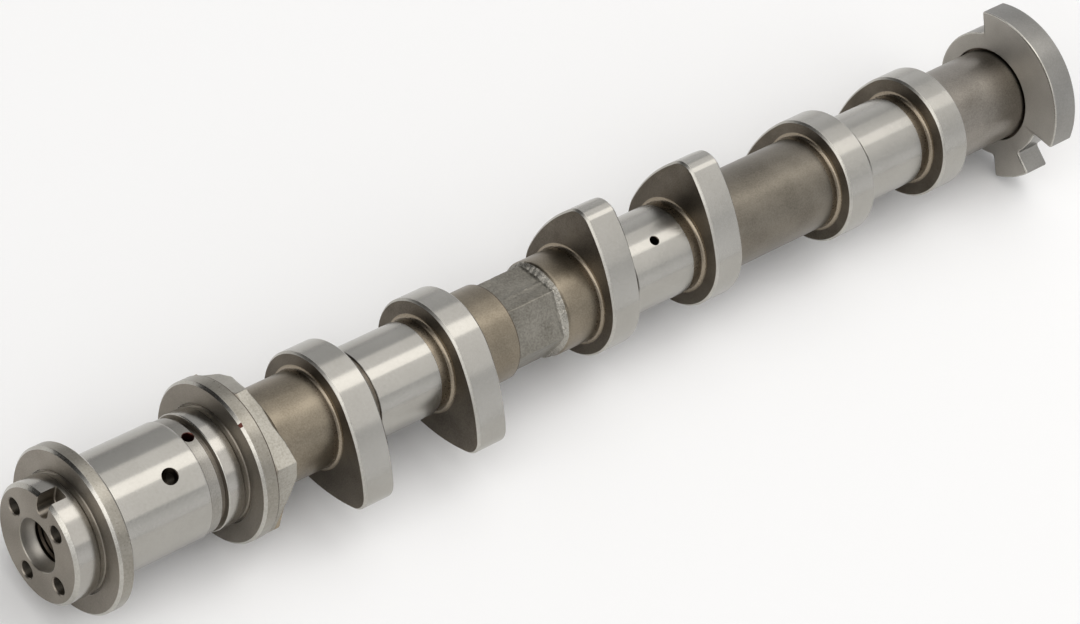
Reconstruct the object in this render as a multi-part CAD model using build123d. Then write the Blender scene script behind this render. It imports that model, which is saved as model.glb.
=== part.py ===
# Camshaft of a three-cylinder bank: one casting, turned, milled, drilled and ground.
# The shaft's axis is +X, from the nose to the trigger wheel. The origin is the centre of the nose's
# end face, and +Z is up as the shaft lies on its front flange, its rearmost lobe and the wheel's tooth.
# Lengths are in millimetres. Angles are in degrees about +X, from +Y towards +Z.
from build123d import *
from math import atan2, cos, degrees, radians, sin, sqrt, tan
import os

# Turning of the shaft about its axis as it lies: the angle of the nose's locating slot
slot_angle = 80.9

# Nose, which carries the timing drive
nose_dia = 37.0
nose_length = 9.8
nose_chamfer = 1.1
slot_width = 5.0
slot_floor_radius = 11.9
slot_depth = 6.2
pilot_dia = 16.4
pilot_depth = 4.0
thread_bore_dia = 14.4
thread_depth = 38.0
gallery_dia = 9.0
port_dia = 5.3
port_circle_radius = 12.8
port_depth = 40.0
feed_port_turn = 32.5
other_port_turns = (-66.5, 119.5, 193.0)

# Flanges and front journal
flange_width = 5.2
flange_chamfer = 0.8
thrust_flange_dia = 51.0
rear_flange_dia = 50.4
front_journal_dia = 36.4
front_journal_length = 32.5
oil_land_dia = 35.4
oil_land_length = 4.0
ring_groove_dia = 32.4
ring_groove_width = 1.9
collar_length = 7.3
relief_width = 1.8
relief_depth = 0.8

# Hexagon for holding the shaft while the drive is tightened, with a back that slopes down in two steps
hex_flats = 43.6
hex_corner_length = 3.1
hex_steep_length = 5.8
hex_steep_foot_dia = 40.0
hex_shallow_length = 7.8
hex_turn = -60.9

# Cams
lobe_width = 11.4
base_circle_dia = 41.2
lobe_lift = 10.7
lobe_nose_radius = 6.5
lobe_flank_radius = 55.0
lobe_chamfer = 0.7
first_lobe_x = 96.4
lobe_spacing = 43.8
cylinder_pitch = 103.35
cylinder_count = 3
first_pair_turn = 113.85
firing_turn = -120.0

# Journals between the cams, and the rough shaft
journal_dia = 30.0
journal_neck_dia = 29.2
journal_neck_length = 4.5
shaft_dia = 30.9
root_flare = 1.8

# Drilled oil holes
feed_hole_dia = 5.0
feed_hole_from_flange = 22.2
feed_hole_turn = 30.0
land_hole_dia = 3.4
land_hole_from_journal = 1.9
land_hole_turn = 2.8
mid_journal_hole_dia = 3.0
mid_journal_hole_turn = 21.9
gallery_past_hole = 5.0

# Rough hexagonal grip between the first and second cylinder
grip_flats = 26.0
grip_start_from_lobe = 14.6
grip_length = 20.6
grip_rear_slope = 2.9
grip_turn = -35.4

# Trigger wheel at the rear end
wheel_gap = 32.8
wheel_width = 9.9
wheel_dia = 59.2
wheel_hub_dia = 43.6
sector_start_turn = -25.4
sector_sweep = 118.2
tooth_start_turn = 124.3
tooth_sweep = 30.0
tooth_root_fillet = 1.4
wheel_groove_width = 1.3
wheel_groove_depth = 1.2
centre_dia = 9.0
centre_floor_dia = 4.0
centre_angle = 60.0

# Point angle of the drills, and the overlap by which neighbouring solids are fused
drill_point_angle = 118.0
overlap = 1.0

# Places along the shaft that follow from the sizes above
thrust_flange_x = nose_length
front_journal_x = thrust_flange_x + flange_width
oil_land_x = front_journal_x + front_journal_length
ring_groove_x = oil_land_x + oil_land_length
collar_x = ring_groove_x + ring_groove_width
rear_flange_x = collar_x + collar_length
hex_x = rear_flange_x + flange_width
hex_steep_x = hex_x + hex_corner_length
hex_shallow_x = hex_steep_x + hex_steep_length
hex_end_x = hex_shallow_x + hex_shallow_length
last_pair_x = first_lobe_x + (cylinder_count - 1) * cylinder_pitch
shaft_end_x = last_pair_x + lobe_spacing + lobe_width + wheel_gap
wheel_end_x = shaft_end_x + wheel_width
mid_journal_x = first_lobe_x + cylinder_pitch + (lobe_spacing + lobe_width) / 2
gallery_end_x = mid_journal_x + gallery_past_hole


def turned(points):
    """A solid of revolution about the shaft's axis, from (x, radius) corners."""
    outline = Polyline([(x, r) for x, r in points], close=True)
    return revolve(make_face(outline), Axis.X)


def disc(start, end, dia, front=0.0, rear=0.0):
    """A coaxial disc with a 45 degree chamfer on each rim."""
    r = dia / 2
    front_corners = [(start, 0), (start, r - front), (start + front, r)]
    rear_corners = [(end - rear, r), (end, r - rear), (end, 0)]
    corners = front_corners + rear_corners
    if front == 0:
        corners.remove((start + front, r))
    if rear == 0:
        corners.remove((end - rear, r))
    return turned(corners)


def drill_cone(outer_radius, inner_radius):
    """Length of the cone that a drill leaves between two radii."""
    return (outer_radius - inner_radius) / tan(radians(drill_point_angle / 2))


def along_axis(x, angle=0.0):
    """The plane square to the axis at x, with its own first direction turned to the angle."""
    direction = (0, cos(radians(angle)), sin(radians(angle)))
    return Plane(origin=(x, 0, 0), x_dir=direction, z_dir=(1, 0, 0))


def ground_relief(face_x, dia):
    """The undercut in the corner between a ground cylinder and a flange's front face."""
    r = dia / 2
    floor = r - relief_depth
    start = face_x - relief_width
    return turned([
        (start, r + overlap),
        (start, r),
        (start + relief_depth, floor),
        (face_x, floor),
        (face_x, r + overlap),
    ])


def front_end():
    """Nose, thrust flange, front journal with its oil land and ring groove, collar and rear flange."""
    body = disc(0, thrust_flange_x + overlap, nose_dia, front=nose_chamfer)
    body += disc(thrust_flange_x, front_journal_x, thrust_flange_dia, flange_chamfer, flange_chamfer)
    body += disc(front_journal_x - overlap, oil_land_x, front_journal_dia)
    body += disc(oil_land_x - overlap, ring_groove_x, oil_land_dia)
    body += disc(ring_groove_x - overlap, collar_x + overlap, ring_groove_dia)
    body += disc(collar_x, rear_flange_x + overlap, front_journal_dia)
    body += disc(rear_flange_x, hex_x, rear_flange_dia, flange_chamfer)
    body -= ground_relief(thrust_flange_x, nose_dia)
    body -= ground_relief(rear_flange_x, front_journal_dia)
    return body


def hexagon():
    """Spanner hexagon behind the rear flange, on a blank whose back slopes down to the shaft."""
    across = RegularPolygon(hex_flats / 2, 6, major_radius=False)
    start = hex_x - overlap
    prism = extrude(along_axis(start, slot_angle + hex_turn) * across, hex_end_x - start)
    r = rear_flange_dia / 2
    blank = turned([
        (start, 0),
        (start, r),
        (hex_steep_x, r),
        (hex_shallow_x, hex_steep_foot_dia / 2),
        (hex_end_x, shaft_dia / 2),
        (hex_end_x, 0),
    ])
    return prism & blank


def waist(start, end, dia, front_flare, rear_flare):
    """A plain run of shaft that flares at 45 degrees into the face at either end."""
    r = dia / 2
    corners = [(start, 0), (start, r + front_flare)]
    if front_flare:
        corners.append((start + front_flare, r))
    if rear_flare:
        corners.append((end - rear_flare, r))
    corners += [(end, r + rear_flare), (end, 0)]
    return turned(corners)


def lobe_outline():
    """Cam section of three arcs: base circle, two wide flanks and the nose, pointing along +X."""
    base = base_circle_dia / 2
    nose_x = base + lobe_lift - lobe_nose_radius
    to_base = lobe_flank_radius - base
    to_nose = lobe_flank_radius - lobe_nose_radius
    flank_x = (to_base**2 - to_nose**2 + nose_x**2) / (2 * nose_x)
    flank_y = sqrt(to_base**2 - flank_x**2)
    base_turn = degrees(atan2(flank_y, -flank_x))
    nose_turn = degrees(atan2(flank_y, nose_x - flank_x))
    arcs = [
        CenterArc((0, 0), base, base_turn, 360 - 2 * base_turn),
        CenterArc((nose_x, 0), lobe_nose_radius, -nose_turn, 2 * nose_turn),
        CenterArc((flank_x, -flank_y), lobe_flank_radius, nose_turn, base_turn - nose_turn),
        CenterArc((flank_x, flank_y), lobe_flank_radius, -base_turn, base_turn - nose_turn),
    ]
    return make_face(Wire(arcs))


def lobe(start, turn):
    """One cam, its nose pointing to the slot's angle plus the turn."""
    cam = extrude(along_axis(start, slot_angle + turn) * lobe_outline(), lobe_width)
    ends = cam.faces().sort_by(Axis.X)
    return chamfer(ends[0].edges() + ends[-1].edges(), lobe_chamfer)


def cam_pair(number):
    """Two cams of one cylinder with the ground journal between them."""
    start = first_lobe_x + number * cylinder_pitch
    turn = first_pair_turn + number * firing_turn
    second = start + lobe_spacing
    gap_start = start + lobe_width
    journal_start = gap_start + journal_neck_length
    journal_end = second - journal_neck_length
    pair = lobe(start, turn) + lobe(second, turn)
    pair += waist(gap_start, second, journal_neck_dia, root_flare, root_flare)
    pair += disc(journal_start, journal_end, journal_dia)
    return pair


def grip(start):
    """Six rough flats below the shaft's skin, stepped at the front and sloping out at the rear."""
    end = start + grip_length
    across = RegularPolygon(grip_flats / 2, 6, major_radius=False)
    prism = extrude(along_axis(start, slot_angle + grip_turn) * across, grip_length)
    slope = turned([
        (end - grip_rear_slope, 0),
        (end - grip_rear_slope, grip_flats / 2),
        (end, shaft_dia / 2),
        (end, 0),
    ])
    return prism + slope


def shaft_runs():
    """The rough shaft between the hexagon, the cam pairs and the wheel, with the grip in its second run."""
    runs = waist(hex_end_x, first_lobe_x, shaft_dia, 0, root_flare)
    for number in range(cylinder_count):
        pair_end = first_lobe_x + number * cylinder_pitch + lobe_spacing + lobe_width
        next_pair = first_lobe_x + (number + 1) * cylinder_pitch
        if number == 0:
            grip_start = pair_end + grip_start_from_lobe
            runs += waist(pair_end, grip_start, shaft_dia, root_flare, 0)
            runs += grip(grip_start)
            runs += waist(grip_start + grip_length, next_pair, shaft_dia, 0, root_flare)
        elif number < cylinder_count - 1:
            runs += waist(pair_end, next_pair, shaft_dia, root_flare, root_flare)
        else:
            runs += waist(pair_end, shaft_end_x, shaft_dia, root_flare, 0)
    return runs


def pie(start_turn, sweep, radius):
    """A flat wedge from the axis, wide enough to cut a rim sector from a disc."""
    reach = radius * 2
    corners = [(0, 0)]
    steps = 4
    for k in range(steps + 1):
        a = radians(start_turn + sweep * k / steps)
        corners.append((reach * cos(a), reach * sin(a)))
    return make_face(Polyline(corners, close=True))


def trigger_wheel():
    """Sensor wheel: a hub disc with one long sector and one short tooth."""
    hub_r = wheel_hub_dia / 2
    rim_r = wheel_dia / 2
    outline = Circle(hub_r)
    outline += Circle(rim_r) & pie(sector_start_turn, sector_sweep, rim_r)
    outline += Circle(rim_r) & pie(tooth_start_turn, tooth_sweep, rim_r)
    roots = [v for v in outline.vertices() if Vector(v).length < (hub_r + rim_r) / 2]
    outline = fillet(roots, tooth_root_fillet)
    wheel = extrude(along_axis(shaft_end_x, slot_angle) * outline, wheel_width)
    groove_dia = shaft_dia + 2 * wheel_groove_width
    groove = turned([
        (shaft_end_x, shaft_dia / 2),
        (shaft_end_x + wheel_groove_depth, shaft_dia / 2),
        (shaft_end_x + wheel_groove_depth, groove_dia / 2),
        (shaft_end_x, groove_dia / 2),
    ])
    return wheel - groove


def locating_slot():
    """Slot in the nose's face, open at its rim, with a round inner end."""
    centre = slot_floor_radius + slot_width / 2
    reach = nose_dia
    bar = Pos(centre + reach / 2, 0) * Rectangle(reach, slot_width)
    outline = bar + Pos(centre, 0) * Circle(slot_width / 2)
    return extrude(along_axis(0, slot_angle) * outline, slot_depth)


def central_bore():
    """Pilot bore, tapped bore and oil gallery in one stepped cut from the nose."""
    pilot = pilot_dia / 2
    thread = thread_bore_dia / 2
    gallery = gallery_dia / 2
    lead_in = pilot - thread
    thread_start = pilot_depth + lead_in
    thread_end = thread_start + thread_depth
    return turned([
        (0, 0),
        (0, pilot),
        (pilot_depth, pilot),
        (thread_start, thread),
        (thread_end, thread),
        (thread_end + drill_cone(thread, gallery), gallery),
        (gallery_end_x, gallery),
        (gallery_end_x + drill_cone(gallery, 0), 0),
    ])


def ports():
    """Axial oil drillings that open in the nose's face."""
    cuts = []
    for turn in (feed_port_turn,) + other_port_turns:
        drilling = Pos(port_circle_radius, 0) * Circle(port_dia / 2)
        cuts.append(extrude(along_axis(0, slot_angle + turn) * drilling, port_depth))
    return cuts


def radial_hole(x, turn, dia, from_radius, surface_dia):
    """A drilling square to the axis, from inside the shaft to past its surface."""
    angle = radians(slot_angle + turn)
    outward = (0, cos(angle), sin(angle))
    start = Plane(origin=(x, from_radius * outward[1], from_radius * outward[2]), z_dir=outward)
    return extrude(start * Circle(dia / 2), surface_dia / 2 + overlap - from_radius)


def centre_hole():
    """Rear machining centre, a 60 degree seat that ends in a small flat."""
    mouth = centre_dia / 2
    floor = centre_floor_dia / 2
    floor_x = wheel_end_x - (mouth - floor) / tan(radians(centre_angle / 2))
    return turned([(wheel_end_x, 0), (wheel_end_x, mouth), (floor_x, floor), (floor_x, 0)])


def camshaft():
    """The whole piece: turned blank, hexagon, cams and wheel, then every slot and drilling."""
    body = front_end() + hexagon() + shaft_runs()
    for number in range(cylinder_count):
        body += cam_pair(number)
    body += trigger_wheel()
    body -= locating_slot()
    body -= central_bore()
    for port in ports():
        body -= port
    feed_hole_x = front_journal_x + feed_hole_from_flange
    land_hole_x = oil_land_x + land_hole_from_journal
    body -= radial_hole(feed_hole_x, feed_hole_turn, feed_hole_dia, port_circle_radius, front_journal_dia)
    body -= radial_hole(land_hole_x, land_hole_turn, land_hole_dia, 0, front_journal_dia)
    body -= radial_hole(mid_journal_x, mid_journal_hole_turn, mid_journal_hole_dia, 0, journal_dia)
    body -= centre_hole()
    return body


os.makedirs("parts", exist_ok=True)
piece = camshaft()
solid = piece.solids()[0]
solid.label = "camshaft"
export_step(solid, "parts/camshaft.step")
print("solids", len(piece.solids()), "volume mm3", round(solid.volume), "length", round(wheel_end_x, 2))
print("box", solid.bounding_box().min, solid.bounding_box().max)
print("centre of mass", solid.center(CenterOf.MASS))
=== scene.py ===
# %% [markdown]
# # A camshaft in ground and cast steel
# This lesson dresses a packed camshaft for rendering. The exact solid is loaded first and stays untouched.
# A finer skin is then built over it, ring by ring, because soft edges, thread and rough cast faces need
# more shape than the plain solid carries. The finishes, the light and the camera come last.

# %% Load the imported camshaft
import bmesh
import bpy
import numpy as np
from math import asin, atan2, cos, degrees, pi, radians, sin, sqrt
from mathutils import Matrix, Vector, noise


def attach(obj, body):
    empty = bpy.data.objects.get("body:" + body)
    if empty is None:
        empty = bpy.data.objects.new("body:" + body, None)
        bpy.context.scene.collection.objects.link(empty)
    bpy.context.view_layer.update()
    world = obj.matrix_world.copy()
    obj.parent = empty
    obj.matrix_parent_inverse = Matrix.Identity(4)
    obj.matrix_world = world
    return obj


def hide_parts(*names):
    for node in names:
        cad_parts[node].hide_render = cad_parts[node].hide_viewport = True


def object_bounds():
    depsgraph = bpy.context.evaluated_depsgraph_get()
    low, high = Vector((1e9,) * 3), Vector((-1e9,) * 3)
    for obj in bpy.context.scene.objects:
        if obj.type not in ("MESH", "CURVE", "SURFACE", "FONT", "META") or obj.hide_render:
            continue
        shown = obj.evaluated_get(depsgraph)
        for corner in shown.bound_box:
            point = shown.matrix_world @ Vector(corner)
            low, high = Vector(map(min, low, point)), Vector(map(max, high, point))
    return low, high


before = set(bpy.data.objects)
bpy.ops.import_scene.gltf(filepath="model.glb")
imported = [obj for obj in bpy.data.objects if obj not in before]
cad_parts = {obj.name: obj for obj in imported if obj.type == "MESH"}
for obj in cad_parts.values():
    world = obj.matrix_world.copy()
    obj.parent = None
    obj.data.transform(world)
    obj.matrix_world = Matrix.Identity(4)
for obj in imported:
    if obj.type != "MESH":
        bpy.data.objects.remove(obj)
cad_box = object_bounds()
mm = 0.001
print("packed nodes:", sorted(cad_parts))

# %% [markdown]
# ## Rings of points
# A shaft is a stack of sections along one axis, so its skin can be one long chain of closed rings, each
# with the same number of points. Neighbouring rings are joined point by point with quads. Every section is
# kept as points with their outward directions, so that it can be drawn smaller or larger for an edge.
# A circle is the simplest one: its points lie on the axis, and drawing it larger by r gives radius r.

# %% The circle, and points along arcs
around = 240
angles = np.radians(np.arange(around) * 360 / around)
axis_section = (np.zeros((around, 2)), np.stack([np.cos(angles), np.sin(angles)], 1))


def arc(centre, radius, start, sweep, steps=40):
    """Points along an arc, in degrees."""
    a = np.radians(start + sweep * np.linspace(0, 1, steps))
    return [(centre[0] + radius * np.cos(t), centre[1] + radius * np.sin(t)) for t in a]


def polar(radius, angle):
    """The point at a radius and an angle in degrees."""
    return radius * cos(radians(angle)), radius * sin(radians(angle))


def turned_by(outline, angle):
    """An outline turned about the axis."""
    c, s = cos(radians(angle)), sin(radians(angle))
    return [(c * y - s * z, s * y + c * z) for y, z in outline]


print("points in each ring:", around)

# %% [markdown]
# ## Points along an outline
# Any other section starts as a dense outline, and the ring's points are shared out along it. Even steps
# would waste them on the flats and starve the corners, so each part of the outline gets a share for the
# angle it covers, one for its length, and one for how much it bends.

# %% Any closed outline as a ring
def section(outline):
    """Shares the ring's points along a dense closed outline, more of them where it bends."""
    points = np.array(outline, float)
    first = np.argmin(np.abs(np.arctan2(points[:, 1], points[:, 0])))
    points = np.roll(points, -first, 0)
    step = np.roll(points, -1, 0) - points
    length = np.hypot(step[:, 0], step[:, 1])
    heading = np.unwrap(np.arctan2(step[:, 1], step[:, 0]))
    bearing = np.unwrap(np.arctan2(points[:, 1], points[:, 0]))
    bend = np.abs(np.diff(np.append(heading, heading[0] + 2 * pi)))
    swing = np.abs(np.diff(np.append(bearing, bearing[0] + 2 * pi)))
    share = 0.45 * swing / swing.sum() + 0.25 * length / length.sum() + 0.3 * bend / bend.sum()
    run = np.append(0, np.cumsum(share))
    closed = np.vstack([points, points[:1]])
    facing = np.append(heading[-1] - 2 * pi, heading)
    facing = (facing[:-1] + facing[1:]) / 2
    facing = np.append(facing, facing[0] + 2 * pi)
    want = np.arange(around) / around * run[-1]
    place = np.stack([np.interp(want, run, closed[:, k]) for k in (0, 1)], 1)
    turn = np.interp(want, run, facing)
    return place, np.stack([np.sin(turn), -np.cos(turn)], 1)


print("a closed outline is shared out over", around, "points")

# %% [markdown]
# ## The sections of this shaft
# The cams are made of three kinds of arc: the base circle, the wide flanks and the small nose radius. Where
# two arcs meet they share a tangent, so the flank's centre follows from the radii and the lift, and the
# outline has no kink that would show as a line in the polished face. All angles start at the locating slot.

# %% The cam's outline
slot_angle = 80.9
base_radius = 20.6
lobe_lift = 10.7
lobe_nose_radius = 6.5
lobe_flank_radius = 55.0


def lobe_outline():
    """The three-arc cam, its nose along +Y."""
    nose_y = base_radius + lobe_lift - lobe_nose_radius
    to_base = lobe_flank_radius - base_radius
    to_nose = lobe_flank_radius - lobe_nose_radius
    flank_y = (to_base**2 - to_nose**2 + nose_y**2) / (2 * nose_y)
    flank_z = sqrt(to_base**2 - flank_y**2)
    base_turn = degrees(atan2(flank_z, -flank_y))
    nose_turn = degrees(atan2(flank_z, nose_y - flank_y))
    return (arc((nose_y, 0), lobe_nose_radius, -nose_turn, 2 * nose_turn)[:-1]
            + arc((flank_y, -flank_z), lobe_flank_radius, nose_turn, base_turn - nose_turn)[:-1]
            + arc((0, 0), base_radius, base_turn, 360 - 2 * base_turn, 160)[:-1]
            + arc((flank_y, flank_z), lobe_flank_radius, -base_turn, base_turn - nose_turn)[:-1])


cam = lobe_outline()
print("cam height:", round(max(y for y, z in cam) - min(y for y, z in cam), 2))

# %% [markdown]
# ## Hexagons
# The spanner hexagon and the cast grip are polygons with softened corners. The flats carry a few points of
# their own, so that a ring has somewhere to put its points between the corners.

# %% A hexagon's outline
def hexagon_outline(flats, corner_radius):
    """A hexagon with softened corners, the first corner along +Y."""
    reach = (flats / 2 - corner_radius) / cos(radians(30))
    points = []
    for k in range(6):
        centre = (reach * cos(radians(60 * k)), reach * sin(radians(60 * k)))
        corner = arc(centre, corner_radius, 60 * k - 30, 60, 7)
        points += corner
        after = (reach * cos(radians(60 * k + 60)), reach * sin(radians(60 * k + 60)))
        following = arc(after, corner_radius, 60 * k + 30, 60, 7)[0]
        for t in np.linspace(0, 1, 14)[1:-1]:
            points.append(tuple(np.array(corner[-1]) * (1 - t) + np.array(following) * t))
    return points


print("points in a hexagon's outline:", len(hexagon_outline(43.6, 0.5)))

# %% [markdown]
# ## Trigger wheel
# A sensor reads the wheel's long sector and short tooth. Their sides run to the axis, with a fillet at each
# root and tip. They could be cut with booleans, but an outline that is drawn with its fillets gives clean
# rings of quads, which shade well.

# %% The wheel's outline
wheel_radius = 29.6
wheel_hub_radius = 21.8
raised = [(-25.4, 118.2), (124.3, 30.0)]
root_fillet_radius = 1.4
tip_fillet_radius = 0.8


def wheel_outline():
    """Hub circle with the raised rim parts, each side radial and filleted at root and tip."""
    tip = wheel_radius - tip_fillet_radius
    root = wheel_hub_radius + root_fillet_radius
    tip_angle = degrees(asin(tip_fillet_radius / tip))
    root_angle = degrees(asin(root_fillet_radius / root))
    points = []
    for k, (start, sweep) in enumerate(raised):
        end = start + sweep
        following = raised[(k + 1) % 2][0] + (360 if k else 0)
        points += arc(polar(root, start - root_angle), root_fillet_radius,
                      start - root_angle + 180, root_angle - 90, 9)[:-1]
        points += arc(polar(tip, start + tip_angle), tip_fillet_radius, start - 90, 90 + tip_angle, 9)[:-1]
        points += arc((0, 0), wheel_radius, start + tip_angle, sweep - 2 * tip_angle, 90)[:-1]
        points += arc(polar(tip, end - tip_angle), tip_fillet_radius, end - tip_angle, 90 + tip_angle, 9)[:-1]
        points += arc(polar(root, end + root_angle), root_fillet_radius, end - 90, root_angle - 90, 9)[:-1]
        points += arc((0, 0), wheel_hub_radius, end + root_angle, following - end - 2 * root_angle, 60)[:-1]
    return points


print("points in the wheel's outline:", len(wheel_outline()))

# %% [markdown]
# ## One chain of rings
# The skin starts at the bottom of the oil gallery, comes out through the bore, turns over the nose's face
# and runs along the outside to the wheel. Each stretch is drawn as a short profile of corners: the place
# along the shaft, the distance from the section's outline, and how soft that corner is. A soft corner
# becomes a small arc, because real edges catch the light as a thin line.

# %% Finishes and soft corners
chain = []
finishes = []
finish_names = ["ground_steel", "turned_steel", "rim_steel", "rough_steel", "cam_side", "root_steel",
                "cast_steel", "burr_steel", "hexagon_steel", "painted_shade_steel", "wheel_steel_and_painted_light", "oil_land",
                "edge_highlight_steel", "seat_steel", "wheel_rim", "red_mark", "cam_edge_highlight"]


def soft(corners):
    """Replaces each corner that has a softness by a small arc. A corner is (x, offset, softness, finish)."""
    out = []
    for k, (x, r, softness, finish) in enumerate(corners):
        if not softness:
            out.append((x, r, finish))
            continue
        here = np.array([x, r])
        before = np.array(corners[k - 1][:2]) - here
        after = np.array(corners[k + 1][:2]) - here
        before_length, after_length = np.hypot(*before), np.hypot(*after)
        before, after = before / before_length, after / after_length
        half = np.arccos(np.clip(before @ after, -1, 1)) / 2
        back = min(softness / np.tan(half), 0.45 * before_length, 0.45 * after_length)
        radius = back * np.tan(half)
        middle = here + (before + after) / np.linalg.norm(before + after) * (radius / np.sin(half))
        first, last = here + before * back - middle, here + after * back - middle
        spread = np.arctan2(first[0] * last[1] - first[1] * last[0], first @ last)
        steps = 1 if softness <= 0.1 else 2 if softness < 1 else 5
        for t in np.linspace(0, 1, steps + 1):
            c, s = np.cos(spread * t), np.sin(spread * t)
            q = middle + np.array([c * first[0] - s * first[1], s * first[0] + c * first[1]])
            out.append((q[0], q[1], finish))
    return out


print("finishes:", ", ".join(finish_names))

# %% [markdown]
# ## Laying the rings
# Three small functions lay every ring of this shaft: one for a profile on a section, one that finds the
# circle whose points suit a section, and one that lets the points drift from one circle's places to
# another's. A ring's finish covers the band in front of it.

# %% The chain of rings
def run(corners, shape=axis_section):
    """Adds rings to the chain: offsets are measured outwards from the section's outline."""
    place, outward = shape
    for x, offset, finish in soft(corners):
        flat = place + outward * offset
        chain.append(np.column_stack([np.full(around, x), flat]))
        finishes.append(finish_names.index(finish))


def circle_like(shape):
    """A circle whose points lie at the same bearings as a section's points."""
    place = shape[0]
    return np.zeros((around, 2)), place / np.linalg.norm(place, axis=1)[:, None]


def ease(start, end, radius, before, after, finish, steps=4):
    """A plain cylinder on which the points drift from one circle's bearings to another's."""
    turns = [np.unwrap(np.arctan2(shape[1][:, 1], shape[1][:, 0])) for shape in (before, after)]
    turns[1] += 2 * pi * round((turns[0][0] - turns[1][0]) / (2 * pi))
    for k in range(steps + 1):
        turn = turns[0] + (turns[1] - turns[0]) * k / steps
        flat = radius * np.stack([np.cos(turn), np.sin(turn)], 1)
        chain.append(np.column_stack([np.full(around, start + (end - start) * k / steps), flat]))
        finishes.append(finish_names.index(finish))


print("rings so far:", len(chain))

# %% [markdown]
# ## The bore and the nose
# The chain begins at the tip of the oil gallery and climbs back towards the nose. The tapped bore gets
# real ridges over its first turns, which are all that can be seen down the hole, and a near-black finish
# that is painted shade. The pilot bore's floor keeps the round of its cutter, a quarter of a sine wave here,
# and that curve catches the light, helped by a pale finish that is painted light on the wall.
# Then come the nose's face with its chamfer, and the undercut that a grinding wheel needs at the flange.

# %% Bore, nose and thrust flange
gallery_tip_x, gallery_end_x, gallery_radius, hole_tip_radius = 234.8, 232.35, 4.5, 0.4
thread_start, thread_end, thread_radius, thread_root = 5.0, 43.0, 7.2, 7.5
thread_pitch, thread_turns, thread_runout = 1.5, 8, 1.6
pilot_radius, pilot_floor, floor_curve = 8.2, 4.6, 3.0
nose_radius, thrust_flange_radius, front_radius, undercut_radius = 18.5, 25.5, 18.2, 17.7
# The gallery and the thread take the near-black finish: painted shade down the hole.
run([(gallery_tip_x, hole_tip_radius, 0, "painted_shade_steel"), (gallery_end_x, gallery_radius, 0, "painted_shade_steel"),
     (thread_end + thread_runout, gallery_radius, 0, "painted_shade_steel"),
     (thread_end, thread_radius, 0, "painted_shade_steel")])
for k in range(thread_turns, 0, -1):
    x = thread_start + thread_pitch * k
    run([(x, thread_radius, 0, "painted_shade_steel"), (x - thread_pitch / 2, thread_root, 0, "painted_shade_steel")])
run([(thread_start, thread_radius, 0, "painted_shade_steel"), (pilot_floor, thread_radius, 0, "painted_shade_steel")])
# The pilot's curved floor and its wall take the pale wheel finish: painted light on the bore's wall, which
# its own shade would leave dark.
for t in (0.15, 0.3, 0.5, 0.75, 1.0):
    curved_radius = thread_radius + (pilot_radius - thread_radius) * sin(t * pi / 2)
    run([(pilot_floor - floor_curve * t, curved_radius, 0, "wheel_steel_and_painted_light")])
# The chamfers in this profile take the pale edge finish: a painted highlight along each edge.
run([(0.35, pilot_radius, 0, "wheel_steel_and_painted_light"), (0.1, pilot_radius + 0.2, 0, "rim_steel"),
     (0.0, pilot_radius + 0.4, 0, "turned_steel"), (0.0, nose_radius - 1.1, 0.15, "turned_steel"),
     (1.1, nose_radius, 0.15, "edge_highlight_steel"), (8.0, nose_radius, 0.1, "seat_steel"),
     (8.8, undercut_radius, 0.2, "turned_steel"), (10.0, undercut_radius, 0.1, "turned_steel"),
     (10.3, 18.0, 0, "turned_steel"), (10.3, 18.1, 0.1, "turned_steel"), (9.8, 19.0, 0.1, "edge_highlight_steel"),
     (9.8, thrust_flange_radius - 0.8, 0.15, "turned_steel"), (10.6, thrust_flange_radius, 0.2, "edge_highlight_steel"),
     (14.2, thrust_flange_radius, 0.2, "rim_steel"), (15.0, thrust_flange_radius - 0.8, 0.15, "edge_highlight_steel"),
     (15.0, front_radius, 0.3, "turned_steel"), (16.0, front_radius, 0, "ground_steel")])
print("rings so far:", len(chain))

# %% [markdown]
# ## Front journal, oil land, ring groove and rear flange
# These are plain turned steps, so one profile holds them all. The oil land is a little smaller than the
# journal and was never ground, and the groove beside it takes a sealing ring.

# %% Front journal to rear flange
land_radius, groove_radius, rear_flange_radius = 17.7, 16.2, 25.2
# The chamfers here take the pale edge finish: a painted highlight along each edge.
run([(46.5, front_radius, 0, "ground_steel"), (47.2, front_radius, 0.1, "ground_steel"),
     (47.5, front_radius - 0.3, 0.1, "edge_highlight_steel"), (47.5, land_radius, 0, "oil_land"),
     (51.2, land_radius, 0.1, "oil_land"), (51.5, land_radius - 0.3, 0.1, "edge_highlight_steel"),
     (51.5, groove_radius, 0.3, "turned_steel"), (53.4, groove_radius, 0.3, "turned_steel"),
     (53.4, front_radius - 0.3, 0.1, "turned_steel"), (53.7, front_radius, 0.1, "edge_highlight_steel"),
     (58.9, front_radius, 0.1, "seat_steel"), (59.7, 17.4, 0.2, "turned_steel"),
     (60.9, 17.4, 0.1, "turned_steel"), (61.2, 17.7, 0, "turned_steel"), (61.2, 17.8, 0.1, "turned_steel"),
     (60.7, 18.7, 0.1, "edge_highlight_steel"), (60.7, rear_flange_radius - 0.8, 0.15, "turned_steel"),
     (61.5, rear_flange_radius, 0.2, "edge_highlight_steel"), (62.0, rear_flange_radius, 0, "rim_steel")])
print("rings so far:", len(chain))

# %% [markdown]
# ## Hexagon with its cast back
# The spanner flats are machined, and the casting behind them is not. On the real shaft the line between
# them wanders, so each point of the ring gets its own place along the shaft, from where the flats were
# seen to end, and the slope behind falls away to the shaft in a slightly hollow curve.

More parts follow.
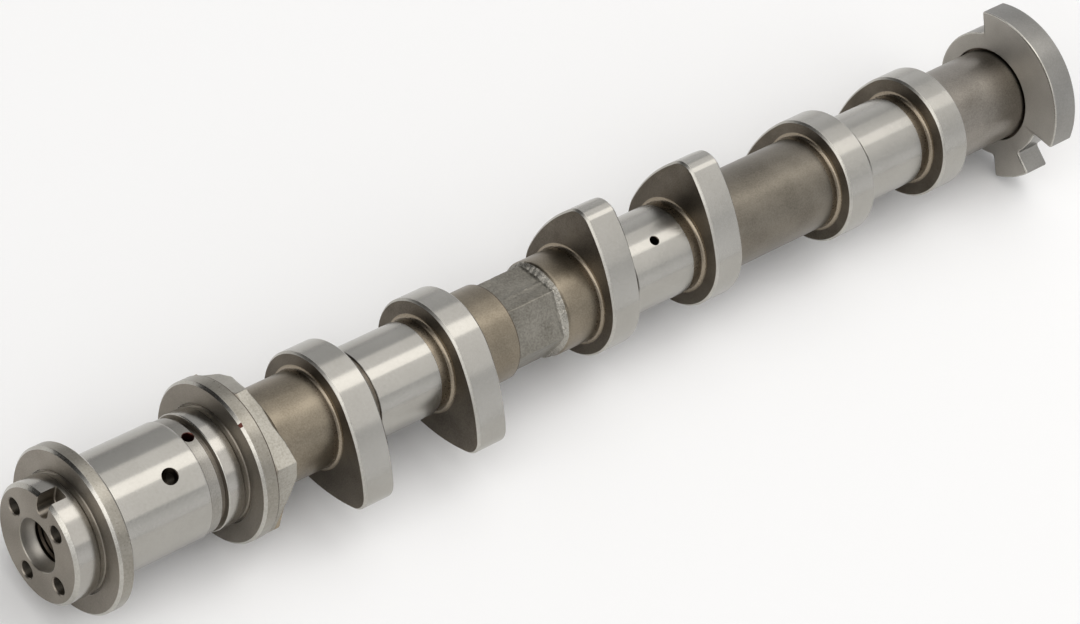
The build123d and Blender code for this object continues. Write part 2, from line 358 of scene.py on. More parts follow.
# %% Hexagon and cast slope
shaft_radius = 15.45
hexagon = section(turned_by(hexagon_outline(43.6, 0.5), slot_angle - 60.9))
hexagon_x, slope_end_x = 65.9, 82.6
slope_end_turns = [0, 20, 150, 190, 235, 280, 340, 360]
slope_ends = [80.0, 76.4, 76.4, 82.3, 82.3, 80.0, 80.0, 80.0]
flat_ends = [69.0, 74.0, 74.3, 72.2, 70.2, 71.8, 72.0, 73.1, 73.3, 74.4, 73.0, 71.0, 69.0]
flat_end_step, flats_from = 15.0, 20.0


def flat_end(bearing):
    """Where the machined flats end, by the angle round the shaft."""
    turn = (bearing - flats_from) % 360
    if turn < 180:
        return np.interp(turn, [flat_end_step * k for k in range(len(flat_ends))], flat_ends)
    return 70.8 + 1.6 * abs(sin(radians(turn * 3)))


ease(62.2, hexagon_x - 0.5, rear_flange_radius, axis_section, circle_like(hexagon), "rim_steel")
# A thin band of the near-black finish on the flange's rear edge, and the darker turned finish on the first
# 0.7 mm of the flats, are painted shade where the flange meets the hexagon.
run([(hexagon_x - 0.4, rear_flange_radius, 0, "rim_steel"),
     (hexagon_x - 0.05, rear_flange_radius - 0.1, 0, "painted_shade_steel"),
     (hexagon_x, rear_flange_radius - 0.2, 0, "painted_shade_steel")], circle_like(hexagon))
run([(hexagon_x, -0.05, 0, "turned_steel"), (hexagon_x + 0.45, -0.12, 0, "turned_steel"),
     (hexagon_x + 0.7, -0.02, 0, "turned_steel")], hexagon)
bearings = np.degrees(np.arctan2(hexagon[0][:, 1], hexagon[0][:, 0]))
ends = np.array([flat_end(b) for b in bearings])
hexagon_radii = np.linalg.norm(hexagon[0], axis=1)
direction = hexagon[0] / hexagon_radii[:, None]


def free_ring(xs, radii, finish):
    """Adds a ring whose points each have their own place along the shaft and distance from the axis."""
    chain.append(np.column_stack([xs, direction * radii[:, None]]))
    finishes.append(finish_names.index(finish))


free_ring(ends - 0.5, hexagon_radii - 0.02, "hexagon_steel")
free_ring(ends - 0.12, hexagon_radii - 0.06, "hexagon_steel")
slope_here = np.interp(bearings % 360, slope_end_turns, slope_ends)
for t in (0.03, 0.1, 0.2, 0.3, 0.42, 0.55, 0.7, 0.85, 0.95, 1.0):
    fall = (1 - t) ** 1.25
    free_ring(ends + (slope_here - ends) * t, shaft_radius + (hexagon_radii - shaft_radius) * fall,
              "rough_steel")
print("rings so far:", len(chain))

# %% [markdown]
# ## Cams and journals
# Each cylinder has two equal cams with a ground journal between them, and the next cylinder's pair is the
# same pair, one pitch further and a third of a turn back. So one function adds a pair at any cylinder. The
# faces beside a cam were only turned, and a fillet runs up to them from the thin neck on each side.

# %% Pairs and one cam
lobe_width, lobe_spacing, cylinder_pitch, first_lobe_x = 11.4, 43.8, 103.35, 96.4
first_pair_turn, firing_turn = 113.85, -120.0
neck_radius, neck_length, journal_radius = 14.6, 4.5, 15.0
root_fillet, root_top, neck_root_top = 1.9, 18.2, 17.6
pair_shapes = [section(turned_by(lobe_outline(), slot_angle + first_pair_turn + number * firing_turn))
               for number in range(3)]


def pair_start(number):
    """Where a cylinder's first cam begins."""
    return first_lobe_x + number * cylinder_pitch


def pair_end(number):
    """Where a cylinder's second cam ends."""
    return pair_start(number) + lobe_spacing + lobe_width


def add_cam(start, shape):
    """One cam with its chamfered edges. It starts and ends inside, where the fillets reach its sides."""
    end = start + lobe_width
    # The front chamfer takes a pale finish: a painted highlight along the cam's front edge.
    run([(start, -2.2, 0, "cam_side"), (start, -0.7, 0.2, "cam_side"), (start + 0.7, 0, 0.3, "cam_edge_highlight"),
         (end - 0.7, 0, 0.3, "ground_steel"), (end, -0.7, 0.2, "ground_steel"), (end, -2.2, 0, "cam_side")],
        shape)


print("pairs start at:", [round(pair_start(number), 2) for number in range(3)])

# %% [markdown]
# ## A pair, and the shaft beside it
# Between the two cams the journal stands on thin necks, so that the grinding wheel can run out on both
# sides. Outside the pair the shaft stays rough, and it joins the cams with the same fillet.

# %% Helpers for a pair and its shaft
def add_pair(number):
    """Two cams, and between them a journal with a thin neck on each side."""
    shape = pair_shapes[number]
    start = pair_start(number) + lobe_width
    end = pair_start(number) + lobe_spacing
    add_cam(pair_start(number), shape)
    run([(start, neck_root_top, 0, "cam_side"), (start, neck_radius, root_fillet, "root_steel"),
         (start + neck_length, neck_radius, 0.1, "cam_side"),
         (start + neck_length, journal_radius - 0.2, 0, "cam_side"),
         (start + neck_length + 0.2, journal_radius, 0.1, "ground_steel"),
         (end - neck_length - 0.2, journal_radius, 0.1, "ground_steel"),
         (end - neck_length, journal_radius - 0.2, 0, "ground_steel"),
         (end - neck_length, neck_radius, 0.1, "cam_side"),
         (end, neck_radius, root_fillet, "root_steel"), (end, neck_root_top, 0, "cam_side")],
        circle_like(shape))
    add_cam(end, shape)


def shaft_before(number, from_cam):
    """The shaft's last part in front of a pair, and the fillet that runs up the first cam's side."""
    end = pair_start(number)
    run([(end - from_cam, shaft_radius, 0, "rough_steel"), (end, shaft_radius, root_fillet, "root_steel"),
         (end, root_top, 0, "cam_side")], circle_like(pair_shapes[number]))


def shaft_after(number):
    """The fillet behind a pair's second cam, and the shaft's first part."""
    start = pair_end(number)
    run([(start, root_top, 0, "cam_side"), (start, shaft_radius, root_fillet, "rough_steel"),
         (start + 3, shaft_radius, 0, "rough_steel")], circle_like(pair_shapes[number]))


print("pairs end at:", [round(pair_end(number), 2) for number in range(3)])

# %% [markdown]
# ## First cylinder
# The points of a ring sit where the next section needs them, and every section needs them elsewhere. On
# the plain shaft between two sections nobody sees them drift, so that is where they change places. The
# shaft ends in a small step at the cast grip, whose flats lie a little lower.

# %% First pair, up to the grip
grip_start, grip_end = 166.2, 186.8
grip = section(turned_by(hexagon_outline(26.0, 0.6), slot_angle - 35.4))
ease(slope_end_x + 0.4, pair_start(0) - 3, shaft_radius, circle_like(hexagon),
     circle_like(pair_shapes[0]), "rough_steel")
shaft_before(0, 2.5)
add_pair(0)
shaft_after(0)
ease(pair_end(0) + 4, grip_start - 2, shaft_radius, circle_like(pair_shapes[0]), circle_like(grip),
     "rough_steel")
# The last 0.35 mm of shaft and the step down to the grip take the near-black finish: a painted shade line
# along the step.
run([(grip_start - 0.35, shaft_radius, 0, "rough_steel"), (grip_start, shaft_radius, 0.1, "painted_shade_steel"),
     (grip_start, shaft_radius - 0.3, 0, "painted_shade_steel")], circle_like(grip))
print("rings so far:", len(chain))

# %% [markdown]
# ## The cast grip
# Between the first two cylinders the casting has six flats that were never machined. Their skin is uneven,
# with a flash line from the mould along one flat and a torn ridge at the rear. Many close rings are laid
# here, closest of all at the ridge, and each point is moved a little by noise, so that the roughness is
# there from every side.

# %% Cast grip
grip_radii = np.linalg.norm(grip[0], axis=1)
direction = grip[0] / grip_radii[:, None]
grip_bearings = np.degrees(np.arctan2(grip[0][:, 1], grip[0][:, 0]))
ridge_from, flash_bearing, flash_height, flash_width = 183.4, 85.5, 0.16, 1.5
for x in np.concatenate([[grip_start, grip_start + 0.2], np.arange(grip_start + 0.9, 183.2, 0.9),
                         np.arange(ridge_from, grip_end + 0.35, 0.45)]):
    radii = grip_radii.copy()
    flash_at = flash_bearing + 1.5 * noise.noise(Vector((x * 0.4, 0, 0)))
    for i in range(around):
        b = radians(grip_bearings[i])
        spot = Vector((x * 0.35, 6 * cos(b), 6 * sin(b)))
        rough = 0.10 * noise.noise(spot) + 0.09 * noise.noise(spot * 3.1)
        rough += flash_height * np.exp(-((grip_bearings[i] - flash_at) / flash_width)**2)
        slope_start = 183.8 + 0.7 * noise.noise(Vector((1.7, 4 * cos(b), 4 * sin(b))))
        rise = np.clip((x - slope_start) / (grip_end - slope_start), 0, 1)
        radii[i] = min(radii[i] + rough, shaft_radius - 0.15)
        radii[i] += (shaft_radius - radii[i]) * rise**0.8
        ragged = noise.noise(Vector((x * 0.9, 22 * cos(b), 22 * sin(b))))
        torn = noise.noise(Vector((x * 2.0, 28 * cos(b), 28 * sin(b))))
        burr = np.exp(-((x - slope_start - 1.3) / 0.9)**2) * (0.12 + 0.45 * ragged + 0.5 * torn)
        radii[i] = min(radii[i] + burr, shaft_radius)
    free_ring(np.full(around, min(x, grip_end)), radii,
              "cast_steel" if x < 184.3 else "burr_steel" if x < 186.2 else "rough_steel")
print("rings so far:", len(chain))

# %% [markdown]
# ## The rest of the shaft and the trigger wheel
# Two more cylinders follow, then the last run of shaft, which ends in a groove in the wheel's front face.
# The wheel's rear face holds the small centre that carried the shaft in the lathe.

# %% Rear cylinders and wheel
ease(grip_end + 0.8, pair_start(1) - 3, shaft_radius, circle_like(grip), circle_like(pair_shapes[1]),
     "rough_steel")
shaft_before(1, 2.5)
add_pair(1)
shaft_after(1)
ease(pair_end(1) + 4, pair_start(2) - 4, shaft_radius, circle_like(pair_shapes[1]),
     circle_like(pair_shapes[2]), "rough_steel")
shaft_before(2, 3)
add_pair(2)
shaft_after(2)
wheel_x, wheel_end_x, wheel_groove_radius, wheel_groove_depth = 391.1, 401.0, 16.2, 1.2
centre_mouth_radius, centre_radius, centre_cone_depth, centre_depth = 4.5, 2.0, 4.33, 9.0
wheel = section(turned_by(wheel_outline(), slot_angle))
ease(pair_end(2) + 4, wheel_x - 1, shaft_radius, circle_like(pair_shapes[2]), circle_like(wheel),
     "rough_steel")
# The groove in the wheel's face takes the near-black finish: painted shade in the groove.
run([(wheel_x, shaft_radius, 0, "rough_steel"), (wheel_x + wheel_groove_depth, shaft_radius, 0, "painted_shade_steel"),
     (wheel_x + wheel_groove_depth, wheel_groove_radius, 0, "painted_shade_steel"),
     (wheel_x + 0.15, wheel_groove_radius, 0, "painted_shade_steel"),
     (wheel_x, wheel_groove_radius + 0.2, 0, "rim_steel")], circle_like(wheel))
# The wheel's front edge takes the pale edge finish: a painted highlight.
run([(wheel_x, -0.5, 0, "wheel_steel_and_painted_light"), (wheel_x + 0.15, -0.15, 0, "edge_highlight_steel"),
     (wheel_x + 0.5, 0, 0, "edge_highlight_steel"), (wheel_end_x - 0.4, 0, 0, "wheel_rim"),
     (wheel_end_x - 0.12, -0.12, 0, "wheel_rim"), (wheel_end_x, -0.4, 0, "wheel_rim")], wheel)
# Past its cone, the lathe centre takes the near-black finish: painted shade in the hole.
run([(wheel_end_x, centre_mouth_radius, 0, "wheel_steel_and_painted_light"),
     (wheel_end_x - centre_cone_depth, centre_radius, 0, "painted_shade_steel"),
     (wheel_end_x - centre_depth, centre_radius, 0, "painted_shade_steel"),
     (wheel_end_x - centre_depth - 0.9, hole_tip_radius, 0, "painted_shade_steel")], circle_like(wheel))
print("rings:", len(chain))

# %% [markdown]
# ## From rings to a mesh
# The points of all rings go into one list, and every two neighbouring rings make a band of quads. Both
# ends are closed by one flat face each, so the skin is watertight, which the later cuts rely on. A band's
# finish is its rear ring's. A touch of red marking paint sits on the rear flange's front edge, so the few
# faces nearest to that place get a finish of their own.

# %% Skin mesh
points = np.vstack(chain) * mm
rings = len(chain)
quads = []
for k in range(rings - 1):
    for i in range(around):
        j = (i + 1) % around
        quads.append((k * around + i, (k + 1) * around + i, (k + 1) * around + j, k * around + j))
caps = [tuple(range(around)), tuple((rings - 1) * around + i for i in reversed(range(around)))]
mesh = bpy.data.meshes.new("camshaft_skin")
mesh.from_pydata([tuple(p) for p in points], [], quads + caps)
materials = {name: bpy.data.materials.new(name) for name in finish_names}
for name in finish_names:
    mesh.materials.append(materials[name])
indices = [finishes[k + 1] for k in range(rings - 1) for _ in range(around)]
# Both end caps lie deep in holes and take the near-black finish: painted shade.
mesh.polygons.foreach_set("material_index", indices + [finish_names.index("painted_shade_steel")] * 2)
mark_at, mark_radius = Vector((61.1, *polar(24.9, 101.5))) * mm, 0.75 * mm
for polygon in mesh.polygons:
    if (polygon.center - mark_at).length < mark_radius:
        polygon.material_index = finish_names.index("red_mark")
work = bmesh.new()
work.from_mesh(mesh)
bmesh.ops.remove_doubles(work, verts=work.verts, dist=1e-7)
bmesh.ops.recalc_face_normals(work, faces=work.faces)
work.to_mesh(mesh)
work.free()
skin = bpy.data.objects.new("camshaft_skin", mesh)
bpy.context.scene.collection.objects.link(skin)
print("skin:", len(mesh.vertices), "vertices", len(mesh.polygons), "faces")

# %% [markdown]
# ## Slot, ports and oil holes
# Holes that don't follow the rings are cut afterwards, as a drill or a cutter would. Each cutter is a
# small closed solid that flares where it leaves the metal, which gives the hole its broken edge. All of
# them are stacks of equal loops of points, so one helper makes the mesh, and two more shape the drills.

# %% Helpers for the cutters
def cutter(name, loops, finish="painted_shade_steel"):
    """A closed solid through several loops of points, in millimetres. Its finish is left on the cut."""
    count = len(loops[0])
    flat = [tuple(np.array(p) * mm) for loop in loops for p in loop]
    faces = []
    for k in range(len(loops) - 1):
        for i in range(count):
            j = (i + 1) % count
            faces.append((k * count + i, k * count + j, (k + 1) * count + j, (k + 1) * count + i))
    faces += [tuple(reversed(range(count))), tuple((len(loops) - 1) * count + i for i in range(count))]
    made = bpy.data.meshes.new(name)
    made.from_pydata(flat, [], faces)
    for each in finish_names:
        made.materials.append(materials[each])
    made.polygons.foreach_set("material_index", [finish_names.index(finish)] * len(faces))
    work = bmesh.new()
    work.from_mesh(made)
    bmesh.ops.recalc_face_normals(work, faces=work.faces)
    work.to_mesh(made)
    work.free()
    return made


def drilling(name, start, direction, steps, finish="painted_shade_steel", sides=40):
    """A round cutter: steps are (distance from the start, radius).

    Its corners are turned by part of a step, so that none falls exactly on a line of the skin.
    """
    forward = Vector(direction).normalized()
    side = forward.orthogonal().normalized()
    other = forward.cross(side)
    turns = [2 * pi * (i + 0.37) / sides for i in range(sides)]
    loops = []
    for distance, radius in steps:
        centre = Vector(start) + forward * distance
        loops.append([centre + radius * (side * cos(turn) + other * sin(turn)) for turn in turns])
    return cutter(name, loops, finish)


def radial(name, x, turn, radius, surface, start, finish="painted_shade_steel"):
    """An oil hole square to the axis, with a small broken edge."""
    a = radians(slot_angle + turn)
    out = (0, cos(a), sin(a))
    origin = (x, start * out[1], start * out[2])
    steps = [(0, radius), (surface - start - 0.25, radius), (surface - start + 0.05, radius + 0.25),
             (surface - start + 1.5, radius + 0.6)]
    return drilling(name, origin, out, steps, finish)


print("cutters can leave any of", len(finish_names), "finishes")

# %% [markdown]
# ## The eight cutters
# Four ports open in the nose's face, unevenly spaced, and one of them meets the feed hole of the front
# journal, at the same bearing. The locating slot has a round floor, as an end mill leaves it. The oil
# land and the middle journal have one radial hole each.

# %% Ports, slot and oil holes
port_ring_radius, port_radius, port_depth, port_turns = 12.8, 2.65, 40.0, (32.5, -66.5, 119.5, 193.0)
cutters = []
for number, turn in enumerate(port_turns):
    y, z = polar(port_ring_radius, slot_angle + turn)
    steps = [(-1, port_radius + 0.55), (-0.02, port_radius + 0.35), (0.35, port_radius),
             (port_depth, port_radius), (port_depth + 1.3, hole_tip_radius)]
    cutters.append(drilling("port_%d" % number, (0, y, z), (1, 0, 0), steps, "turned_steel"))
slot_half, slot_floor, slot_depth, slot_reach = 2.5, 11.9, 6.2, 21.0
slot_loops = []
for x, grow in ((-1, 0.3), (-0.02, 0.22), (0.2, 0), (slot_depth - 0.3, 0), (slot_depth, -0.3)):
    end = arc((slot_floor + slot_half, 0), slot_half + grow, 90, 180, 17)
    outline = turned_by(end + [(slot_reach, -slot_half - grow), (slot_reach, slot_half + grow)], slot_angle)
    slot_loops.append([(x, y, z) for y, z in outline])
cutters.append(cutter("slot", slot_loops, "turned_steel"))
# The feed hole and the middle journal's hole take the cutters' default near-black finish: painted shade
# inside them.
cutters += [radial("feed_hole", 37.2, 30.0, 2.5, front_radius, port_ring_radius),
            radial("land_hole", 49.4, 2.8, 1.7, land_radius, 2.0, "red_mark"),
            radial("mid_journal_hole", 227.35, 21.9, 1.5, journal_radius, 2.0)]
print("cutters:", [shape.name for shape in cutters])

# %% [markdown]
# ## Cutting
# A boolean modifier takes one cutter out and is applied at once. They are used one after the other, so
# that cutters which cross each other, such as a port and its feed hole, join. The cut faces keep the
# cutter's finish, because both meshes hold the same list of materials.

# %% Cut the holes
def cut(target, shape):
    """Takes one cutter out of the target, and leaves no modifier behind."""
    tool = bpy.data.objects.new(shape.name, shape)
    bpy.context.scene.collection.objects.link(tool)
    step = target.modifiers.new("cut", "BOOLEAN")
    step.operation = "DIFFERENCE"
    step.object = tool
    step.solver = "EXACT"
    step.material_mode = "INDEX"
    result = bpy.data.meshes.new_from_object(target.evaluated_get(bpy.context.evaluated_depsgraph_get()))
    target.modifiers.clear()
    before = target.data
    target.data = result
    bpy.data.meshes.remove(before)
    bpy.data.objects.remove(tool)
    bpy.data.meshes.remove(shape)


for shape in cutters:
    label, before = shape.name, len(skin.data.vertices)
    cut(skin, shape)
    print("cut", label, "added", len(skin.data.vertices) - before, "vertices")
skin.data.name = "camshaft_skin"
print("after the cuts:", len(skin.data.vertices), "vertices", len(skin.data.polygons), "faces")

# %% [markdown]
# ## Shading
# Flat faces must stay flat right up to their soft edges. Weighted normals do that: each corner's shading
# follows the larger faces, and the narrow rounding between two faces takes the whole bend.

# %% Smooth shading with weighted normals
sharp_angle = 38
for polygon in skin.data.polygons:
    polygon.use_smooth = True
skin.data.set_sharp_from_angle(angle=radians(sharp_angle))
weigh = skin.modifiers.new("weighted", "WEIGHTED_NORMAL")
weigh.mode = "FACE_AREA"
weigh.weight = 100
weigh.keep_sharp = True
skin.data = bpy.data.meshes.new_from_object(skin.evaluated_get(bpy.context.evaluated_depsgraph_get()))
skin.modifiers.clear()
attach(skin, "root")
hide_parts("camshaft")
triangles = sum(len(p.vertices) - 2 for p in skin.data.polygons)
print("triangles:", triangles)

# %% [markdown]
# ## Nodes for metal
# All of this is one steel, so every finish is the same kind of shader: a metal whose colour, roughness and
# tool marks change with how that face was made. All of it comes from noise, at three sizes, and small
# helpers make the noise, bring it to a range, and turn it into relief. Some colours stand for light as well:
# the near-black finish is painted shade in holes, grooves and at steps, the pale edge finishes are painted
# highlights, and the wheel's finish on the pilot's wall is painted light. The coordinates are the object's
# own, in metres, so a pattern keeps its real size and stays in place.

# %% Helpers for noise, ranges and relief
def noise_over(tree, vector, scale, detail):
    """A noise pattern over the given coordinates."""
    pattern = tree.nodes.new("ShaderNodeTexNoise")
    pattern.inputs["Scale"].default_value = scale
    pattern.inputs["Detail"].default_value = detail
    tree.links.new(vector, pattern.inputs["Vector"])
    return pattern.outputs["Fac"]


def brought_to(tree, value, limits):
    """A value brought from one range to another, by the names of the limits that aren't 0 or 1."""
    mapped = tree.nodes.new("ShaderNodeMapRange")
    for socket, limit in limits.items():
        mapped.inputs[socket].default_value = limit
    tree.links.new(value, mapped.inputs["Value"])
    return mapped.outputs["Result"]


def half_of_each(tree, one, other):
    """The mean of two values."""
    halved = tree.nodes.new("ShaderNodeMath")
    halved.operation = "MULTIPLY"
    halved.inputs[1].default_value = 0.5
    tree.links.new(other, halved.inputs[0])
    mean = tree.nodes.new("ShaderNodeMath")
    mean.operation = "MULTIPLY_ADD"
    mean.inputs[1].default_value = 0.5
    tree.links.new(one, mean.inputs[0])
    tree.links.new(halved.outputs[0], mean.inputs[2])
    return mean.outputs[0]


def relief(tree, height, depth, under=None):
    """Small relief of a depth in millimetres, laid over another one if there is one."""
    bump = tree.nodes.new("ShaderNodeBump")
    bump.inputs["Strength"].default_value = 1.0
    bump.inputs["Distance"].default_value = depth * mm
    tree.links.new(height, bump.inputs["Height"])
    if under is not None:
        tree.links.new(under, bump.inputs["Normal"])
    return bump.outputs["Normal"]


print("helpers for noise, ranges, means and relief are ready")

# %% [markdown]
# ## Direction of the highlights
# Real tool marks draw a highlight out across themselves. The shader's anisotropy does that: its direction
# runs round the shaft and is turned by a quarter, so the bands along a journal stay crisp while the cams
# beside it hardly mirror in it, and the turned faces get their fans of light. The rough shaft also changes
# along its length, as on the real one: darker behind the second cylinder, greyer and paler at the rear.

# %% Helpers for direction and tone
def round_the_shaft(tree, spot):
    """The direction that runs round the shaft at each spot: square to the axis and to the spot's own."""
    crosswise = tree.nodes.new("ShaderNodeVectorMath")
    crosswise.operation = "CROSS_PRODUCT"
    crosswise.inputs[1].default_value = (1, 0, 0)
    tree.links.new(spot, crosswise.inputs[0])
    carried = tree.nodes.new("ShaderNodeVectorTransform")
    carried.convert_from, carried.convert_to = "OBJECT", "WORLD"
    tree.links.new(crosswise.outputs["Vector"], carried.inputs["Vector"])
    return carried.outputs["Vector"]


def toned(tree, spot, colour, start, end, tone):
    """A colour that is multiplied by a tone, which comes in from start to end along the shaft, in metres."""
    apart = tree.nodes.new("ShaderNodeSeparateXYZ")
    tree.links.new(spot, apart.inputs["Vector"])
    both = tree.nodes.new("ShaderNodeMix")
    both.data_type = "RGBA"
    both.blend_type = "MULTIPLY"
    both.inputs["B"].default_value = (*tone, 1)
    tree.links.new(brought_to(tree, apart.outputs["X"], {"From Min": start, "From Max": end}),
                   both.inputs["Factor"])
    tree.links.new(colour, both.inputs["A"])
    return both.outputs["Result"]


print("helpers for direction and tone are ready")

# %% [markdown]
# ## Steel finishes
# One function makes a finish from its numbers. The tool marks are noise that is stretched round the shaft,
# by making it fine along the axis and coarse across it. Grain and larger patches together decide where the
# steel is light or dark. Ground faces get hardly any relief and cast ones the most, and the finishes then
# stand in a list that can be read down: colour, dark colour, roughness, marks, grain and streak.

# %% One function for every finish
def steel(name, colour, dark, rough, rough_range, marks, mark_depth, grain, grain_depth, streak=0.0,
          tones=()):
    """A metal of two colours with tool marks round the shaft and a grain.

    marks and grain are counts per millimetre, and their depths are in millimetres. streak draws the
    highlights out across the marks, and each of the tones is for toned().
    """
    material = materials[name]
    material.use_nodes = True
    tree = material.node_tree
    shader = tree.nodes["Principled BSDF"]
    shader.inputs["Metallic"].default_value = 1.0
    shader.inputs["Anisotropic"].default_value = streak
    shader.inputs["Anisotropic Rotation"].default_value = 0.25
    spot = tree.nodes.new("ShaderNodeTexCoord").outputs["Object"]
    if streak:
        tree.links.new(round_the_shaft(tree, spot), shader.inputs["Tangent"])
    stretch = tree.nodes.new("ShaderNodeMapping")
    stretch.inputs["Scale"].default_value = (marks * 1000, 14, 14)
    tree.links.new(spot, stretch.inputs["Vector"])
    lines = noise_over(tree, stretch.outputs["Vector"], 1.0, 4.0)
    speckle = noise_over(tree, spot, grain * 1000, 5.0)
    patches = noise_over(tree, spot, 90.0, 5.0)
    mixed = tree.nodes.new("ShaderNodeMix")
    mixed.data_type = "RGBA"
    mixed.inputs["A"].default_value = (*dark, 1)
    mixed.inputs["B"].default_value = (*colour, 1)
    lightness = brought_to(tree, half_of_each(tree, speckle, patches), {"From Min": 0.3, "From Max": 0.6})
    tree.links.new(lightness, mixed.inputs["Factor"])
    shade = mixed.outputs["Result"]
    for start, end, tone in tones:
        shade = toned(tree, spot, shade, start, end, tone)
    tree.links.new(shade, shader.inputs["Base Color"])
    roughness = brought_to(tree, speckle, {"To Min": rough - rough_range, "To Max": rough + rough_range})
    tree.links.new(roughness, shader.inputs["Roughness"])
    marked = relief(tree, lines, mark_depth)
    tree.links.new(relief(tree, speckle, grain_depth, marked), shader.inputs["Normal"])


print("waiting for a finish:", len(finish_names))

# %% The finishes
steel("ground_steel", (0.39, 0.377, 0.346), (0.35, 0.338, 0.308), 0.21, 0.03, 3, 0.0004, 1.2, 0.0003, 0.85)
steel("seat_steel", (0.38, 0.365, 0.335), (0.34, 0.325, 0.295), 0.18, 0.03, 3, 0.0004, 1.2, 0.0003, 0.3)
steel("turned_steel", (0.29, 0.262, 0.222), (0.19, 0.169, 0.14), 0.38, 0.06, 3, 0.002, 2.5, 0.003, 0.75)
steel("rim_steel", (0.31, 0.293, 0.255), (0.21, 0.193, 0.16), 0.3, 0.07, 2, 0.001, 1.6, 0.008)
# The next finish is paler than the faces beside it: a painted highlight for chamfers.
steel("edge_highlight_steel", (0.48, 0.465, 0.425), (0.34, 0.325, 0.29), 0.22, 0.05, 2, 0.001, 1.6, 0.003)
shaft_tones = [(0.235, 0.262, (0.78, 0.81, 0.87)), (0.29, 0.36, (1.38, 1.42, 1.53))]
steel("rough_steel", (0.245, 0.211, 0.16), (0.15, 0.127, 0.094), 0.34, 0.04, 0.9, 0.008, 2.0, 0.013,
      tones=shaft_tones)
steel("cam_side", (0.165, 0.143, 0.114), (0.075, 0.063, 0.049), 0.38, 0.05, 3, 0.002, 2.5, 0.002, 0.8)
steel("root_steel", (0.3, 0.255, 0.195), (0.23, 0.193, 0.146), 0.28, 0.03, 3, 0.0005, 1.5, 0.0004)
steel("cast_steel", (0.27, 0.255, 0.22), (0.12, 0.11, 0.09), 0.42, 0.1, 1, 0.002, 1.5, 0.07)
steel("burr_steel", (0.48, 0.46, 0.41), (0.05, 0.044, 0.035), 0.5, 0.08, 0.6, 0.01, 2.6, 0.12)
steel("hexagon_steel", (0.37, 0.352, 0.31), (0.21, 0.196, 0.165), 0.35, 0.1, 1, 0.002, 1.5, 0.035)
# The next finish is near black: it is painted shade, for holes, grooves and the lines at steps.
steel("painted_shade_steel", (0.12, 0.099, 0.078), (0.05, 0.04, 0.03), 0.36, 0.1, 5, 0.003, 3, 0.004)
# The next finish is the wheel's own, and on the pilot's wall it is painted light.
steel("wheel_steel_and_painted_light", (0.47, 0.445, 0.405), (0.38, 0.358, 0.32), 0.5, 0.06, 3, 0.003, 2.5, 0.006, 0.5)
steel("wheel_rim", (0.28, 0.272, 0.254), (0.22, 0.213, 0.197), 0.34, 0.05, 3, 0.002, 1.6, 0.004, 0.4)
steel("oil_land", (0.33, 0.315, 0.285), (0.2, 0.189, 0.167), 0.32, 0.08, 3, 0.003, 2.2, 0.006, 0.5)
steel("red_mark", (0.14, 0.05, 0.04), (0.07, 0.027, 0.02), 0.45, 0.05, 3, 0.002, 2.5, 0.005)
# The last finish is paler still: a painted highlight on the cams' front chamfers.
steel("cam_edge_highlight", (0.5, 0.485, 0.445), (0.36, 0.345, 0.31), 0.36, 0.05, 2, 0.001, 1.6, 0.003)
print("finishes made:", len(materials))

# %% [markdown]
# ## Floor
# The shaft lies on a sheet of pale matt paper. It is a single large square at the height of the solid's
# lowest point. Besides holding the shadow it gives its own light back from below, and without that the
# undersides of the journals would be black.

# %% Floor
floor_z = cad_box[0][2]
reach = 3.0
floor_mesh = bpy.data.meshes.new("floor")
floor_mesh.from_pydata([(-reach, -reach, floor_z), (reach, -reach, floor_z), (reach, reach, floor_z),
                        (-reach, reach, floor_z)], [], [(0, 1, 2, 3)])
floor = bpy.data.objects.new("floor", floor_mesh)
bpy.context.scene.collection.objects.link(floor)
paper = bpy.data.materials.new("floor_paper")
paper.use_nodes = True
paper_shader = paper.node_tree.nodes["Principled BSDF"]
paper_shader.inputs["Base Color"].default_value = (0.93, 0.93, 0.93, 1)
paper_shader.inputs["Roughness"].default_value = 0.9
paper_shader.inputs["Specular IOR Level"].default_value = 0.1
floor_mesh.materials.append(paper)
print("floor at", round(floor_z / mm, 2), "mm")

# %% [markdown]
# ## Lamps
# A shaft of bare steel shows its surroundings more than itself, so the lamps are shaped for it: one wide
# soft box over the table for the broad bands, a brighter strip under it for the line along each journal,
# and a third box from the nose's side. A lamp is given by how bright it looks, because that is what the
# steel mirrors, and its power follows from its area.

# %% Soft boxes
def soft_box(name, centre, target, width, height, radiance):
    """A rectangular lamp that faces the target, given by how bright it looks."""
    data = bpy.data.lights.new(name, "AREA")
    data.shape = "RECTANGLE"
    data.size, data.size_y = width, height
    data.energy = radiance * pi * width * height
    data.color = (1.0, 0.975, 0.94)
    lamp = bpy.data.objects.new(name, data)
    lamp.location = centre
    lamp.rotation_euler = (Vector(target) - Vector(centre)).to_track_quat("-Z", "Y").to_euler()
    bpy.context.scene.collection.objects.link(lamp)
    return lamp


soft_box("wide_box", (1.0, -0.34, 1.3), (1.0, -0.34, 0), 1.4, 3.16, 0.665)
soft_box("strip", (0.85, 0.0, 1.25), (0.85, 0.0, 0), 1.05, 0.54, 1.12)
soft_box("fill_box", (-0.9, -0.2, 1.5), (0.2, 0.0, 0.0), 1.4, 2.4, 1.3)
print("lamps:", [data.name for data in bpy.data.lights])

# %% [markdown]
# ## World
# What the lamps leave empty is the room. It is bright low in front of the nose, for the bright edges, and
# dark low behind, for the dark arcs beside them. An image of a room would do this too, but a few smooth
# steps of brightness, multiplied together, are plainer and can each be set by hand.

# %% World
world = bpy.data.worlds.new("studio")
world.use_nodes = True
sky = world.node_tree
looking = sky.nodes.new("ShaderNodeTexCoord")


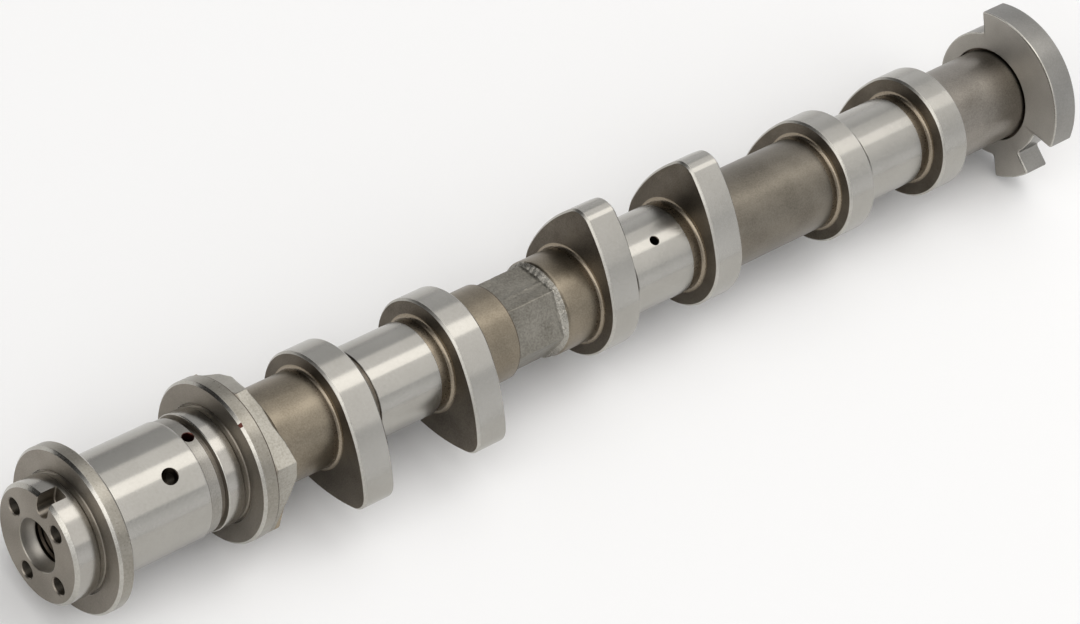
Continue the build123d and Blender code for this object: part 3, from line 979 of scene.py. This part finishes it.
def sky_ramp(direction, low, high, at_low, at_high):
    """Brightness that changes smoothly between two values, by how far a ray points in a direction."""
    along = sky.nodes.new("ShaderNodeVectorMath")
    along.operation = "DOT_PRODUCT"
    along.inputs[1].default_value = direction
    sky.links.new(looking.outputs["Generated"], along.inputs[0])
    ramp = sky.nodes.new("ShaderNodeMapRange")
    ramp.interpolation_type = "SMOOTHSTEP"
    ramp.inputs["From Min"].default_value = low
    ramp.inputs["From Max"].default_value = high
    ramp.inputs["To Min"].default_value = at_low
    ramp.inputs["To Max"].default_value = at_high
    sky.links.new(along.outputs["Value"], ramp.inputs["Value"])
    return ramp.outputs["Result"]


strength = sky_ramp((1, 0, 0), -0.3, 0.4, 0.6, 1.05)
overhead = sky_ramp((0, 0, 1), 0.15, 0.65, 1.0, 0.64)
dark_behind = sky_ramp((-0.35, 0.93, 0.1), 0.47, 0.85, 1.0, 0.08)
bright_in_front = sky_ramp((-0.88, -0.2, 0.43), 0.7, 0.97, 1.0, 2.1)
for part in (overhead, dark_behind, bright_in_front):
    product = sky.nodes.new("ShaderNodeMath")
    product.operation = "MULTIPLY"
    sky.links.new(strength, product.inputs[0])
    sky.links.new(part, product.inputs[1])
    strength = product.outputs["Value"]
sky.nodes["Background"].inputs["Color"].default_value = (0.98, 0.985, 1.0, 1)
sky.links.new(strength, sky.nodes["Background"].inputs["Strength"])
bpy.context.scene.world = world
bpy.context.scene.view_settings.view_transform = "Standard"
print("nodes in the world:", len(sky.nodes))

# %% [markdown]
# ## Camera
# The place, turn and lens come from fitting the shaft's round edges to the photograph, so the render can
# be laid over it. The small shift says that the picture was cut a little off the lens's middle.

# %% Camera
picture_width, focal_pixels = 1080, 3858.55
lens_data = bpy.data.cameras.new("camera")
lens_data.sensor_width = 36.0
lens_data.lens = focal_pixels / picture_width * lens_data.sensor_width
lens_data.shift_x = -0.00161
lens_data.shift_y = -0.03404
lens_data.clip_start, lens_data.clip_end = 0.05, 20
camera = bpy.data.objects.new("camera", lens_data)
camera.location = (-0.48636, -0.42095, 0.86578)
camera.rotation_euler = (radians(40.3951), radians(-16.2044), radians(-39.6196))
bpy.context.scene.collection.objects.link(camera)
bpy.context.scene.camera = camera
print("lens:", round(lens_data.lens, 1), "mm")

# %% [markdown]
# The skin must fill the solid's box and not leave it. The solid's box is printed here, in millimetres.

# %% The solid's box
print("solid's box:", [[round(c / mm, 2) for c in v] for v in cad_box])
